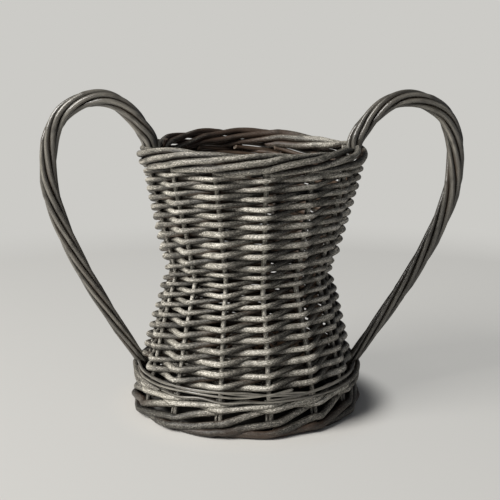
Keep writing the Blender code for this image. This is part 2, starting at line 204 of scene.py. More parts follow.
# The heights of the solids' zones, from the ground up.
footTop = 2 * (border["rise"] + border["rodRadius"]) - border["wornFlat"]
waleTop = footTop + wall["openBand"] + 2 * 0.00165 + (2 * 0.00165 + wall["rowGap"]) * 34 / wall["stakes"]
tailTop = waleTop + wall["clearance"] + 2 * 0.00095 + 3 * (2 * 0.00095 + wall["clearance"] / 2)
baseHeight = waleTop + wall["clearance"] + base["stickRadius"]
tipPitch = 2 * weave["tip"] + wall["rowGap"]


def weaverHeight(start, pitch, crossing):
    if crossing < 0:
        return start + weave["endRise"] * pitch * crossing
    if crossing > lastFront:
        return weaverHeight(start, pitch, lastFront) + weave["endRise"] * tipPitch * (crossing - lastFront)
    return start + pitch * crossing + (tipPitch - pitch) * crossing ** 2 / (2 * lastFront)


lowerPitch = 2 * weave["lowerButt"] + wall["rowGap"]
upperPitch = 2 * weave["upperButt"] + wall["rowGap"]
lowerStart = tailTop + wall["rowGap"] + weave["lowerButt"]
lowerSeat = weaverHeight(lowerStart, lowerPitch, lastFront + 1 - weave["endShare"])
upperStart = (lowerSeat + weave["tip"] + wall["clearance"] + weave["upperButt"]
              + weave["endRise"] * upperPitch * (1 + weave["endShare"]))
upperLast = weaverHeight(upperStart, upperPitch, lastFront)
rimCoreHeight = (upperLast + weave["tip"] + border["seat"] + border["rodRadius"]
                 + border["rise"] * math.sin(border["startTurn"]))
rimTop = rimCoreHeight + border["rise"] + border["rodRadius"]
stakeLow = footTop + wall["openBand"]
stakeHigh = upperLast + weave["tip"] + wall["clearance"] + wall["stakeRadius"]
print("zones in mm:", [round(1000 * height, 1) for height in (footTop, waleTop, tailTop, lowerStart, lowerSeat,
                                                               upperStart, upperLast, rimCoreHeight, rimTop)])


def flare(distance, endDistance):
    rounding = wall["waistRounding"]
    eased = math.hypot(distance, rounding) - rounding
    easedEnd = math.hypot(endDistance, rounding) - rounding
    return (eased / easedEnd) ** wall["flareShare"]


def stakeLine(height):
    if height < wall["waistHeight"]:
        share = flare(wall["waistHeight"] - height, wall["waistHeight"] - wall["bottomHeight"])
        return wall["waistRadius"] + (wall["bottomRadius"] - wall["waistRadius"]) * share
    share = flare(height - wall["waistHeight"], wall["topHeight"] - wall["waistHeight"])
    return wall["waistRadius"] + (wall["topRadius"] - wall["waistRadius"]) * share


def stakeAngle(index, height):
    return space * index + wall["stakeTurn"] * (height - stakeLow) / (stakeHigh - stakeLow)


def placed(radius, angle, height):
    shift = wall["lean"] * (height - wall["leanHeight"]) / rimTop
    share = min(1, max(0, (height - wall["dipFrom"]) / (wall["dipTo"] - wall["dipFrom"])))
    dip = wall["frontDip"] * max(0, -math.sin(angle)) ** 1.5 + wall["sideDip"] * abs(math.cos(angle)) ** 3
    past = (angle - wall["rearAngle"] + math.pi) % (2 * math.pi) - math.pi
    dip += wall["rearDip"] * math.exp(-(past / wall["rearWidth"]) ** 2)
    height -= dip * share * share * (3 - 2 * share)
    return Vector((radius * math.cos(angle) + shift, radius * math.sin(angle), height))


def outerOffset(lineRadius, reach):
    inner = lineRadius - reach
    offset = reach
    for step in range(6):
        slant = math.atan2(lineRadius + offset - inner * math.cos(space), inner * math.sin(space))
        offset = reach / math.cos(slant)
    return offset


# 1 in front of an even stake and -1 behind an odd one, with bends as sharp as the kink says.
def sway(crossing, kink):
    return math.asin(kink * math.cos(math.pi * crossing)) / math.asin(kink)


# Rods run nearly straight from stake to stake, so they lie inside the round between two.
def chord(crossing):
    return 1 - (1 - math.cos(space / 2)) * math.sin(math.pi * crossing) ** 2


# A smooth curve through the knots.
def smoothLine(knots, parts):
    ends = [2 * knots[0] - knots[1]] + knots + [2 * knots[-1] - knots[-2]]
    line = []
    for index in range(len(knots) - 1):
        a, b, c, d = ends[index:index + 4]
        for part in range(parts):
            t = part / parts
            line.append(0.5 * (2 * b + (c - a) * t + (2 * a - 5 * b + 4 * c - d) * t ** 2
                               + (3 * b - a - 3 * c + d) * t ** 3))
    return line + [knots[-1]]


# How a cut willow rod differs from a plain tube.
rodLife = {
    "ringSpacing": 0.0012,
    "bevelSteps": 4,             # 12 sides
    "wander": 0.0008,            # the whole weave drifts this far, neighbours together
    "wanderSize": 0.045,
    "unevenness": 0.08,          # of the thickness
    "knotGap": (0.028, 0.060),   # from one leaf scar to the next
    "knotSwell": 0.10,
    "knotLength": 0.0022,
    "groundShadeHeight": 0.018,         # darker up to this height: painted shade near the ground
    "groundShade": 1.1,
}


noise.seed_set(7)   # noise_vector starts from the clock otherwise


# Slow drift of the whole weave. It fades out at the ground.
def wander(point):
    size = rodLife["wanderSize"]
    drift = noise.noise_vector(point / size) + 0.35 * noise.noise_vector(point / (0.4 * size))
    ground = min(1.0, max(0.0, point.z / 0.02))
    drift.z *= ground
    return point + drift * rodLife["wander"] * (0.35 + 0.65 * ground)


# One willow rod as a closed tube: its line, the radius at each point, and the node that it stands for.
# outward, where it is given, points away from the sheltered side of the rod at each point of its line.
# The side that faces along outward gets painted light, and the sheltered side gets painted shade.
def addRod(name, line, radii, materials, seed, node=None, wandering=1.0, cuts=(0.5, 0.5),
           unevenness=None, shade=None, outward=None):
    dice = random.Random(seed)
    uneven = rodLife["unevenness"] if unevenness is None else unevenness
    rough = np.array([tuple(p.lerp(wander(p), wandering)) for p in line])
    steps = np.r_[0, np.cumsum(np.linalg.norm(np.diff(rough, axis=0), axis=1))]
    length = steps[-1]
    count = max(6, int(length / rodLife["ringSpacing"]) + 1)
    along = np.linspace(0, length, count)
    centres = np.stack([np.interp(along, steps, rough[:, axis]) for axis in range(3)], 1)
    thick = np.interp(along, steps, np.array(radii))
    shades = np.interp(along, steps, np.array(shade)) if shade is not None else np.zeros(count)

    # Thickness wavers, and swells a little at every leaf scar.
    start = dice.uniform(0, 50)
    waver = np.array([noise.noise(Vector((start + s / 0.013, seed * 0.37, 0.2))) for s in along])
    scar = np.zeros(count)
    at = dice.uniform(0.004, rodLife["knotGap"][0])
    while at < length:
        scar = np.maximum(scar, np.exp(-((along - at) / rodLife["knotLength"]) ** 2))
        at += dice.uniform(*rodLife["knotGap"])
    thick = thick * (1 + uneven * waver + rodLife["knotSwell"] * scar)

    # No rod leaves the box of the solids at its sides or top.
    room = 1.07 * thick[:, None]
    low = np.array([cadBox[0][0], cadBox[0][1], -1.0]) + room
    centres = np.clip(centres, low, np.array(tuple(cadBox[1])) - room)

    curve = bpy.data.curves.new(name, "CURVE")
    curve.dimensions = "3D"
    curve.bevel_depth = 1.0
    curve.bevel_resolution = rodLife["bevelSteps"]
    curve.use_fill_caps = True
    spline = curve.splines.new("POLY")
    spline.points.add(count - 1)
    spline.points.foreach_set("co", np.c_[centres, np.ones(count)].astype(np.float32).ravel())
    spline.points.foreach_set("radius", thick.astype(np.float32))
    carrier = bpy.data.objects.new(name + "Line", curve)
    bpy.context.scene.collection.objects.link(carrier)
    graph = bpy.context.evaluated_depsgraph_get()
    mesh = bpy.data.meshes.new_from_object(carrier.evaluated_get(graph))
    bpy.data.objects.remove(carrier)
    bpy.data.curves.remove(curve)
    mesh.name = name
    for layer in list(mesh.uv_layers):
        mesh.uv_layers.remove(layer)

    # The tube comes as its last end, its first end and then ring by ring.
    sides = 2 * rodLife["bevelSteps"] + 4
    ring = np.r_[np.full(sides, count - 1), np.zeros(sides, int), np.repeat(np.arange(count), sides)]
    places = np.empty(len(mesh.vertices) * 3, np.float32)
    mesh.vertices.foreach_get("co", places)
    places = places.reshape(-1, 3).astype(float)

    # A frame that doesn't twist gives the grain its cross-section coordinates.
    tangents = np.gradient(centres, axis=0)
    tangents /= np.linalg.norm(tangents, axis=1)[:, None]
    aside = np.empty_like(tangents)
    first = np.cross(tangents[0], (0.3, 0.2, 1.0))
    aside[0] = first / np.linalg.norm(first)
    for i in range(1, count):
        carried = aside[i - 1] - tangents[i] * np.dot(aside[i - 1], tangents[i])
        aside[i] = carried / np.linalg.norm(carried)
    across = np.cross(tangents, aside)
    offset = places - centres[ring]
    u = (offset * aside[ring]).sum(1)
    w = (offset * across[ring]).sum(1)

    # Cross-section: never quite round, with shallow lengthwise creases.
    turn = np.arctan2(w, u)
    oval = dice.uniform(0, math.pi)
    crease = (1 + 0.040 * np.cos(2 * (turn - oval)) + 0.022 * np.cos(3 * turn + along[ring] / 0.02 + seed)
              + 0.016 * np.cos(5 * turn - along[ring] / 0.013))
    places = centres[ring] + offset * crease[:, None]

    # Each end is cut on a slant with a knife or secateurs.
    for end, slant in zip((0, count - 1), cuts):
        away = np.abs(along[ring] - along[end])
        reach = 2.6 * thick[end]
        lean = dice.uniform(0, 2 * math.pi)
        push = slant * (u * math.cos(lean) + w * math.sin(lean)) * np.clip(1 - away / reach, 0, 1)
        places += tangents[ring] * push[:, None]
    places[:, 2] = np.maximum(places[:, 2], 0)   # worn flat where it stands
    mesh.vertices.foreach_set("co", places.astype(np.float32).ravel())

    normal = offset / np.maximum(np.linalg.norm(offset, axis=1), 1e-9)[:, None]
    if outward is None:
        away = np.c_[centres[:, :2] / np.linalg.norm(centres[:, :2], axis=1)[:, None], np.full(count, 0.5)]
    else:
        away = np.array([tuple(direction) for direction in outward])
        away = np.stack([np.interp(along, steps, away[:, axis]) for axis in range(3)], 1)
    facing = (normal * away[ring]).sum(1)
    grain = mesh.attributes.new("rodGrain", "FLOAT_VECTOR", "POINT")
    grain.data.foreach_set("vector", np.c_[along[ring] + seed * 1.7, u, w].astype(np.float32).ravel())
    tone = mesh.attributes.new("rodTone", "FLOAT", "POINT")
    tone.data.foreach_set("value", np.full(len(ring), dice.uniform(-1, 1), np.float32))
    scars = mesh.attributes.new("rodScar", "FLOAT", "POINT")
    scars.data.foreach_set("value", scar[ring].astype(np.float32))
    # Painted light and shade: lighter where the surface faces out and up (partly real sun bleaching, partly painted
    # light), darker on the sheltered side, behind stakes and near the ground (painted shade).
    bleachAndShade = mesh.attributes.new("rodBleachAndShade", "FLOAT", "POINT")
    # Painted shade: rods get darker towards the ground.
    groundShade = np.clip((rodLife["groundShadeHeight"] - places[:, 2]) / rodLife["groundShadeHeight"], 0, 1)
    # Painted shadow on the far rim at the left and a painted patch of light near the right handle; where the wood is
    # bare it is a little darker.
    x, y, z = places.T
    farRim = np.clip((y - 0.015) / 0.03, 0, 1) * np.clip((z - 0.158) / 0.012, 0, 1)
    bared = np.exp(-((x - 0.012) / 0.026) ** 2)
    rimLightAndShade = farRim * (0.5 * np.exp(-((x - 0.052) / 0.016) ** 2) - 0.9 * np.clip((0.012 - x) / 0.04, 0, 1) - 0.3 * bared)
    bleachAndShade.data.foreach_set("value",
                            (0.8 * facing + shades[ring] + rimLightAndShade - rodLife["groundShade"] * groundShade).astype(np.float32))

    # Bare brown wood: on the far inner rim, and where the foot was scuffed at the front.
    scuff = np.exp(-((x - 0.010) / 0.020) ** 2) * (y < -0.05) * np.clip((0.0085 - z) / 0.004, 0, 1)
    rust = mesh.attributes.new("rodRust", "FLOAT", "POINT")
    rust.data.foreach_set("value", (farRim * (0.45 + 0.6 * bared) + 0.35 * scuff).astype(np.float32))

    # Unwrapped as strips of the rod laid side by side, so that baked grain stays sharp.
    strips = max(1, round(math.sqrt(length / (2 * math.pi * thick.mean()))))
    perStrip = math.ceil((count - 1) / strips)
    corners = np.empty(len(mesh.loops), np.int32)
    mesh.loops.foreach_get("vertex_index", corners)
    starts = np.empty(len(mesh.polygons), np.int32)
    totals = np.empty(len(mesh.polygons), np.int32)
    mesh.polygons.foreach_get("loop_start", starts)
    mesh.polygons.foreach_get("loop_total", totals)
    face = np.repeat(np.arange(len(starts)), totals)
    cornerRing = ring[corners]
    cornerSide = (corners % sides).astype(float)
    low = np.minimum.reduceat(cornerRing, starts)[face]
    least = np.minimum.reduceat(cornerSide, starts)[face]
    most = np.maximum.reduceat(cornerSide, starts)[face]
    cornerSide[(most - least > sides / 2) & (cornerSide < sides / 2)] += sides
    strip = low // perStrip
    uPlace = 0.004 + 0.992 * (cornerRing - strip * perStrip) / perStrip
    vPlace = 0.97 * (strip + 0.03 + 0.94 * cornerSide / sides) / strips
    cap = np.maximum.reduceat(corners, starts)[face] < 2 * sides
    capSize = 0.012 / thick.max()
    uPlace[cap] = 0.5 + 0.5 * u[corners[cap]] * capSize + np.where(corners[cap] < sides, 0.2, -0.2)
    vPlace[cap] = 0.985 + w[corners[cap]] * capSize
    layer = mesh.uv_layers.new(name="OFBake")
    layer.data.foreach_set("uv", np.c_[uPlace, vPlace].astype(np.float32).ravel())

    mesh.materials.clear()
    for material in materials:
        mesh.materials.append(material)
    capFace = np.maximum.reduceat(corners, starts) < 2 * sides
    mesh.polygons.foreach_set("material_index", capFace.astype(np.int32) * (len(materials) - 1))
    mesh.polygons.foreach_set("use_smooth", ~capFace)

    shape = bmesh.new()
    shape.from_mesh(mesh)
    bmesh.ops.remove_doubles(shape, verts=shape.verts, dist=0.000001)
    shape.to_mesh(mesh)
    shape.free()
    rod = bpy.data.objects.new(name, mesh)
    bpy.context.scene.collection.objects.link(rod)
    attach(rod, "root")
    if node:
        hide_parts(node)
    return rod


# Materials. Every rod is willow that has stood outdoors, so all of them come from one recipe.
def linear(hexColour):
    parts = [int(hexColour[i:i + 2], 16) / 255 for i in (1, 3, 5)]
    return tuple(p / 12.92 if p <= 0.04045 else ((p + 0.055) / 1.055) ** 2.4 for p in parts) + (1.0,)


def addNode(tree, kind, settings=None, values=None, links=None):
    made = tree.nodes.new(kind)
    for key, value in (settings or {}).items():
        setattr(made, key, value)
    for key, value in (values or {}).items():
        made.inputs[key].default_value = value
    for key, source in (links or {}).items():
        tree.links.new(source, made.inputs[key])
    return made


# Weathered willow: rods soaked, woven and left to grey in the open. The eye sees lengthwise fibre streaks,
# fine dark specks of mould, pale crowns that are partly bleached and partly painted light, painted shade where the rod
# is sheltered, and brown wood where the sun doesn't reach.
def willow(name, look):
    material = bpy.data.materials.new(name)
    material.use_nodes = True
    tree = material.node_tree
    shader = tree.nodes["Principled BSDF"]
    shader.inputs["Roughness"].default_value = look["roughness"]
    shader.inputs["Specular IOR Level"].default_value = look["gloss"]
    grain = addNode(tree, "ShaderNodeAttribute", {"attribute_name": "rodGrain"})
    tone = addNode(tree, "ShaderNodeAttribute", {"attribute_name": "rodTone"})
    scar = addNode(tree, "ShaderNodeAttribute", {"attribute_name": "rodScar"})
    bleachAndShade = addNode(tree, "ShaderNodeAttribute", {"attribute_name": "rodBleachAndShade"})
    rust = addNode(tree, "ShaderNodeAttribute", {"attribute_name": "rodRust"})

    # Noise with spots of this length along the rod and this width across it.
    def pattern(lengthMm, widthMm, detail, seed):
        placedGrain = addNode(tree, "ShaderNodeMapping", {"vector_type": "POINT"},
                              {"Scale": (1000 / lengthMm, 1000 / widthMm, 1000 / widthMm),
                               "Location": (seed, seed, seed)}, {"Vector": grain.outputs["Vector"]})
        return addNode(tree, "ShaderNodeTexNoise", None,
                       {"Scale": 1.0, "Detail": detail, "Roughness": 0.6},
                       {"Vector": placedGrain.outputs["Vector"]}).outputs["Fac"]

    # first + weight * (second - 0.5)
    def add(first, second, weight):
        scaled = addNode(tree, "ShaderNodeMath", {"operation": "MULTIPLY_ADD"},
                         {1: weight, 2: -0.5 * weight}, {0: second})
        return addNode(tree, "ShaderNodeMath", {"operation": "ADD"}, None,
                       {0: first, 1: scaled.outputs[0]}).outputs[0]

    fibre = pattern(14, look["fibreMm"], 3, 0.0)
    fleck = pattern(1.3, 0.6, 2, 7.0)
    patch = pattern(38, 6, 2, 3.0)
    speck = pattern(0.9, 0.5, 1, 11.0)
    # The painted light and shade of rodBleachAndShade set how light the grey is.
    level = addNode(tree, "ShaderNodeMath", {"operation": "MULTIPLY_ADD"},
                    {1: look["bleachAndShadeGain"], 2: look["level"]}, {0: bleachAndShade.outputs["Fac"]}).outputs[0]
    level = add(level, fibre, look["fibre"])
    level = add(level, fleck, look["fleck"])
    level = add(level, patch, look["patch"])
    toned = addNode(tree, "ShaderNodeMath", {"operation": "MULTIPLY_ADD"}, {1: look["tone"]},
                    {0: tone.outputs["Fac"], 2: level}).outputs[0]
    ramp = addNode(tree, "ShaderNodeValToRGB", None, None, {"Fac": toned})
    stops = look["colours"]
    while len(ramp.color_ramp.elements) < len(stops):
        ramp.color_ramp.elements.new(0.5)
    for element, (place, colour) in zip(ramp.color_ramp.elements, stops):
        element.position = place
        element.color = linear(colour)

    # Brown wood shows in slow patches, more on the sheltered sides, where the painted shade lies too.
    brownPlace = pattern(60, 9, 2, 19.0)
    shelter = addNode(tree, "ShaderNodeMath", {"operation": "MULTIPLY_ADD"}, {1: -0.22},
                      {0: bleachAndShade.outputs["Fac"], 2: brownPlace}).outputs[0]
    bared = addNode(tree, "ShaderNodeMath", {"operation": "MULTIPLY_ADD"}, {1: 0.32},
                    {0: rust.outputs["Fac"], 2: shelter}).outputs[0]
    brownShare = addNode(tree, "ShaderNodeMapRange", None,
                         {"From Min": look["brownFrom"], "From Max": look["brownFrom"] + 0.22,
                          "To Min": 0.0, "To Max": look["brown"]}, {"Value": bared})
    browned = addNode(tree, "ShaderNodeMix", {"data_type": "RGBA", "blend_type": "MIX"},
                      {"B": linear(look["brownColour"])},
                      {"Factor": brownShare.outputs["Result"], "A": ramp.outputs["Color"]})

    # Specks of black mould, and the dark ring of a leaf scar.
    speckShare = addNode(tree, "ShaderNodeMapRange", None,
                         {"From Min": 0.57, "From Max": 0.66, "To Min": 0.0, "To Max": look["specks"]},
                         {"Value": speck})
    scarShare = addNode(tree, "ShaderNodeMath", {"operation": "MULTIPLY"}, None,
                        {0: scar.outputs["Fac"], 1: fleck}).outputs[0]
    darkShare = addNode(tree, "ShaderNodeMath", {"operation": "MAXIMUM"}, None,
                        {0: speckShare.outputs["Result"], 1: scarShare}).outputs[0]
    specked = addNode(tree, "ShaderNodeMix", {"data_type": "RGBA", "blend_type": "MIX"},
                      {"B": linear(look["darkColour"])},
                      {"Factor": darkShare, "A": browned.outputs["Result"]})
    tree.links.new(specked.outputs["Result"], shader.inputs["Base Color"])

    relief = add(fibre, fleck, 0.8)
    bump = addNode(tree, "ShaderNodeBump", None, {"Strength": look["relief"], "Distance": 0.0004},
                   {"Height": relief})
    tree.links.new(bump.outputs["Normal"], shader.inputs["Normal"])
    return material


wallLook = {
    "roughness": 0.5,
    "gloss": 0.5,
    "level": 0.345,
    "bleachAndShadeGain": 0.40,
    "fibre": 0.60,
    "fibreMm": 0.8,
    "fleck": 1.45,
    "patch": 0.45,
    "tone": 0.06,
    "colours": ((0.0, "#0c0b09"), (0.22, "#302e29"), (0.48, "#64615a"), (0.72, "#9b978c"), (1.0, "#e2ded3")),
    "brown": 0.55,
    "brownFrom": 0.58,
    "brownColour": "#6d5847",
    "specks": 0.7,
    "darkColour": "#2b2823",
    "relief": 0.7,
}
handleLook = dict(wallLook, roughness=0.30, gloss=0.8, level=0.345, bleachAndShadeGain=0.32, fibre=0.55, fleck=0.20,
                  patch=0.30, specks=0.25, brown=0.5, brownFrom=0.5, brownColour="#5d5044", relief=0.4,
                  fibreMm=1.1)
baseLook = dict(wallLook, level=0.40, brown=0.85, brownFrom=0.40, brownColour="#7a5f48")
cutLook = dict(wallLook, level=0.50, fibre=0.2, bleachAndShadeGain=0.0, brown=0.6, brownFrom=0.45)
rimLook = dict(wallLook, level=0.34, brown=0.75, brownFrom=0.53, brownColour="#4f3d31")

cutWillow = willow("cutWillowEnd", cutLook)
wallWillow = [willow("weatheredWillow", wallLook), cutWillow]
borderWillow = [willow("weatheredBorderWillow", rimLook), cutWillow]
handleWillow = [willow("polishedHandleWillow", handleLook), cutWillow]
baseWillow = [willow("brownBaseWillow", baseLook), cutWillow]
print("materials made")


# Wall: fourteen rods of French randing at a time, once round and more, in two blocks.
def weaverLine(first, start, pitch, butt, below, dice):
    line, radii, shade = [], [], []
    front = -1 - below
    low, high = front - weave["endShare"], lastFront + 1 + weave["endShare"]
    count = int((high - low) * 22)
    stakes = range(front, lastFront + 2)
    strays = [dice.gauss(0, weave["unevenRow"]) for stake in stakes]
    thickness = 1 + dice.uniform(-1, 1) * weave["unevenThickness"]
    for step in range(count + 1):
        share = step / count
        crossing = low + (high - low) * share
        radius = butt + (weave["tip"] - butt) * min(1, max(0, (crossing + 1) / (lastFront + 2)))
        height = weaverHeight(start, pitch, crossing)
        lineRadius = stakeLine(height)
        reach = wall["stakeRadius"] + radius + wall["clearance"]
        beyond = max(front - crossing, crossing - lastFront - 1, 0) / weave["endShare"]
        swing = sway(crossing, weave["kink"])
        stray = float(np.interp(crossing, list(stakes), strays)) - weave["droop"] * swing
        if beyond:
            swing = -1 - weave["endInset"] * beyond
        offset = swing * (outerOffset(lineRadius, reach) if swing > 0 else reach)
        if below:
            stray += weave["joinShift"] * min(1, max(0, (crossing - lastFront + 5) / 5))
        else:
            stray -= weave["joinShift"] * min(1, max(0, (5 - crossing) / 5))
        line.append(placed((lineRadius + offset) * chord(crossing), stakeAngle(first + crossing, height),
                           height + stray))
        radii.append(radius * weave["fullness"] * thickness)
        # Painted light and shade: lighter in front of a stake and on the half that comes towards the key lamp, darker
        # behind a stake and on the half that turns away.
        lee = math.sin(math.pi * crossing) * (1 + swing) / 2
        sunny = max(0, -math.sin(math.pi * crossing))
        shade.append(weave["shade"][0] * swing + weave["shade"][1] - weave["leeShade"] * lee
                     + weave["paintedSunlight"] * sunny)
    return line, radii, shade


dice = random.Random(7)
seed = 100
for block, start, pitch, butt, below in (("lower", lowerStart, lowerPitch, weave["lowerButt"], weave["startsBelow"]),
                                         ("upper", upperStart, upperPitch, weave["upperButt"], 0)):
    for index in range(wall["stakes"]):
        line, radii, shade = weaverLine(index, start, pitch, butt, below, dice)
        seed += 1
        addRod(f"{block}Rod{index + 1:02d}", line, radii, wallWillow, seed, f"{block}_weaver_{index + 1:02d}",
               cuts=(0.9, 0.6), shade=shade)
print("wall woven")


def spread(low, high, step):
    count = max(1, round((high - low) / step))
    return [low + (high - low) * i / count for i in range(count + 1)]


# Stakes: up the wall, then rolled into the border at the rim and laid in front of one another at the foot.
def rimPoint(baseAngle, spaces, crest):
    past = spaces % 1
    turn = (2 * math.pi * (spaces + 4 * border["kink"] * past * (1 - past)) / border["turnSpaces"]
            - border["startTurn"])
    lift = crest * math.exp(-((spaces - 2.9) / 0.45) ** 2)
    return placed(border["rimCore"] + border["depth"] * math.cos(turn), baseAngle + space * spaces,
                  rimCoreHeight - border["settle"] + border["rise"] * math.sin(turn) + lift)


def rimSpaces(index):
    spaces = border["rimSpaces"]
    for angle in handle["angles"]:
        ahead = ((angle - stakeAngle(index, rimCoreHeight)) % (2 * math.pi)) / space
        turn = 2 * math.pi * ahead / border["turnSpaces"] - border["startTurn"]
        if turn > math.pi / 2 and ahead - handle["socketShare"] < spaces:
            spaces = ahead - handle["socketShare"]
    return spaces


def stakeRoute(index, dice):
    footAngle, rimAngle = stakeAngle(index, stakeLow), stakeAngle(index, rimCoreHeight)
    crest = dice.uniform(-0.4, 1) * border["crest"]
    footLine = [placed(radius + dice.gauss(0, foot["stray"]), footAngle - space * spaces,
                       height + dice.gauss(0, foot["stray"])) for spaces, radius, height in reversed(foot["path"])]
    last = rimSpaces(index)
    rimSteps = [border["settingShare"]] + [step / 4 for step in range(2, int(4 * (last - 0.12)) + 1)] + [last]
    strays = [Vector([dice.gauss(0, border["stray"]) for axis in range(3)]) for stake in range(8)]
    rim = [rimPoint(rimAngle, spaces, crest) + strays[int(spaces)].lerp(strays[int(spaces) + 1], spaces % 1)
           for spaces in rimSteps]
    middle = [placed(stakeLine(height), stakeAngle(index, height), height)
              for height in spread(stakeLow + 0.002, stakeHigh, 0.006)]
    knots = footLine + middle + rim
    radii = [float(np.interp(spaces, (2.6, 3.9), (foot["rodRadius"], foot["tipRadius"])))
             for spaces, radius, height in reversed(foot["path"])]
    radii += [wall["stakeRadius"]] * len(middle)
    radii += [float(np.interp(spaces, (border["thinFrom"], border["rimSpaces"]),
                              (border["rimRadius"], border["tipRadius"]))) for spaces in rimSteps]
    for step, spaces in enumerate(rimSteps):
        past = (rimAngle + space * spaces - border["swellAngle"] + math.pi) % (2 * math.pi) - math.pi
        radii[len(footLine) + len(middle) + step] *= 1 + border["swell"] * math.exp(-(past / border["swellWidth"]) ** 2)
    parts = 5
    smoothRadii = np.interp(np.arange((len(knots) - 1) * parts + 1) / parts, np.arange(len(knots)), radii)
    # The side facing outward is painted lighter; on the rim it points away from the rope's core, so the creases get
    # painted shade.
    outward = [Vector((math.cos(angle), math.sin(angle), 0.1)) for angle in
               [footAngle - space * spaces for spaces, radius, height in reversed(foot["path"])]
               + [footAngle] * len(middle)]
    for spaces in rimSteps:
        angle = rimAngle + space * spaces
        turn = 2 * math.pi * spaces / border["turnSpaces"] - border["startTurn"]
        outward.append(Vector((math.cos(angle) * math.cos(turn), math.sin(angle) * math.cos(turn), math.sin(turn))))
    return smoothLine(knots, parts), list(smoothRadii), smoothLine(outward, parts)


for index in range(wall["stakes"]):
    line, radii, outward = stakeRoute(index, dice)
    # Painted highlight on the stakes in the middle of the wall.
    shade = [wall["stakeHighlight"] * min(1, max(0, 1 - abs(step / len(line) - 0.45) / 0.3)) for step in range(len(line))]
    addRod(f"sideStake{index + 1:02d}", line, radii, borderWillow, 200 + index, f"stake_{index + 1:02d}",
           cuts=(0.9, 0.9), outward=outward, shade=shade)
    for number, (aside, radius, low) in enumerate(foot["byStakes"]):
        angle = stakeAngle(index, stakeLow) + space * aside
        line = [placed(stakeLine(height), angle, height) for height in
                spread(low + dice.uniform(0, 0.001), foot["byStakeTop"], 0.004)]
        addRod(f"byStake{index + 1:02d}{'ab'[number]}", line, [radius] * len(line), wallWillow,
               230 + 2 * index + number, None)
for number, (angle, radius, height, lean, length, thick, lightness) in enumerate(stubs):
    top = placed(radius - length * math.sin(math.radians(lean)), angle, height + length * math.cos(math.radians(lean)))
    bottom = placed(radius, angle, height)
    addRod(f"rimStub{number + 1}", [bottom.lerp(top, share) for share in (0, 0.5, 1)], [thick] * 3, borderWillow,
           270 + number, None, cuts=(0.2, 0.4), unevenness=0.02, shade=[lightness] * 3)
for number, (first, last, radius, height, thick) in enumerate(rimEnds):
    line = [placed(radius - 0.0035 * (1 - share), first + (last - first) * share, height + 0.001 * share)
            for share in (0, 0.2, 0.4, 0.6, 0.8, 1)]
    addRod(f"rimEnd{number + 1}", line, [thick] * len(line), borderWillow, 280 + number, None,
           cuts=(0.5, 0.8))
print("stakes and borders made")


# Wale: three rods round the foot, each in front of two stakes and behind the third.
def waleLine(rod):
    line, shade = [], []
    for step in range(wale["stakes"] * 22 + 1):
        crossing = rod + step / 22
        phase = (step / 22) % 3
        height = wale["height"] + wale["slant"] * float(np.interp(phase, (0, 0.45, 1, 2, 2.55, 3),
                                                                  (0, -1.05, -1, 1, 1.05, 0)))
        lineRadius = stakeLine(height)
        reach = wall["stakeRadius"] + wale["radius"] + wall["clearance"]
        swing = float(np.interp(phase, (0, 1, 2, 3), (-1, 1, 1, -1)))
        offset = swing * (outerOffset(lineRadius, reach) if swing > 0 else reach)
        line.append(placed((lineRadius + offset) * chord(crossing), stakeAngle(crossing, height), height))
        # Painted shade behind the stakes, painted light in front of them.
        shade.append(0.7 * swing - 0.45)
    return line, shade


for rod in range(wale["rods"]):
    line, shade = waleLine(rod)
    addRod(f"footWale{rod + 1}", line, [wale["radius"]] * len(line), wallWillow, 300 + rod,
           None if rod else "foot_wale", cuts=(0.9, 0.9), shade=shade)


# Base: sticks crossed in the middle, and two rods that chase each other outwards.
def baseStickLine(group, count, axis, level, index):
    pitch = 2 * base["stickRadius"] + wall["clearance"]
    reach = stakeLine(baseHeight) - wall["stakeRadius"] - wall["clearance"]
    turn = stakeAngle(0, baseHeight) + space / 2
    along = Vector((math.cos(axis + turn), math.sin(axis + turn), 0))
    aside = Vector((-along.y, along.x, 0))
    centre = placed(0, 0, baseHeight)
    offset = index - (count - 1) / 2
    half = []
    for end in (1, -1):
        angle = axis + turn + end * offset * space + (0 if end > 0 else math.pi)
        tip = placed(reach, angle, baseHeight)
        knee = (centre + along * end * base["slathRadius"] + aside * offset * pitch
                + Vector((0, 0, level * pitch / 2)))
        fanned = placed(base["weaveStart"] - base["weaverRadius"], angle, baseHeight)
        half.append((knee, fanned, tip))
    return smoothLine(list(reversed(half[0])) + list(half[1]), 12)


number = 400
for group, count, axis, level in (("long", base["longSticks"], 0.0, -1),
                                  ("cross", base["crossSticks"], math.pi / 2, 1)):
    for index in range(count):
        line = baseStickLine(group, count, axis, level, index)
        number += 1
        addRod(f"base{group.capitalize()}Stick{index + 1}", line, [base["stickRadius"]] * len(line), baseWillow,
               number, f"base_{group}_stick_{index + 1}", wandering=0.3)


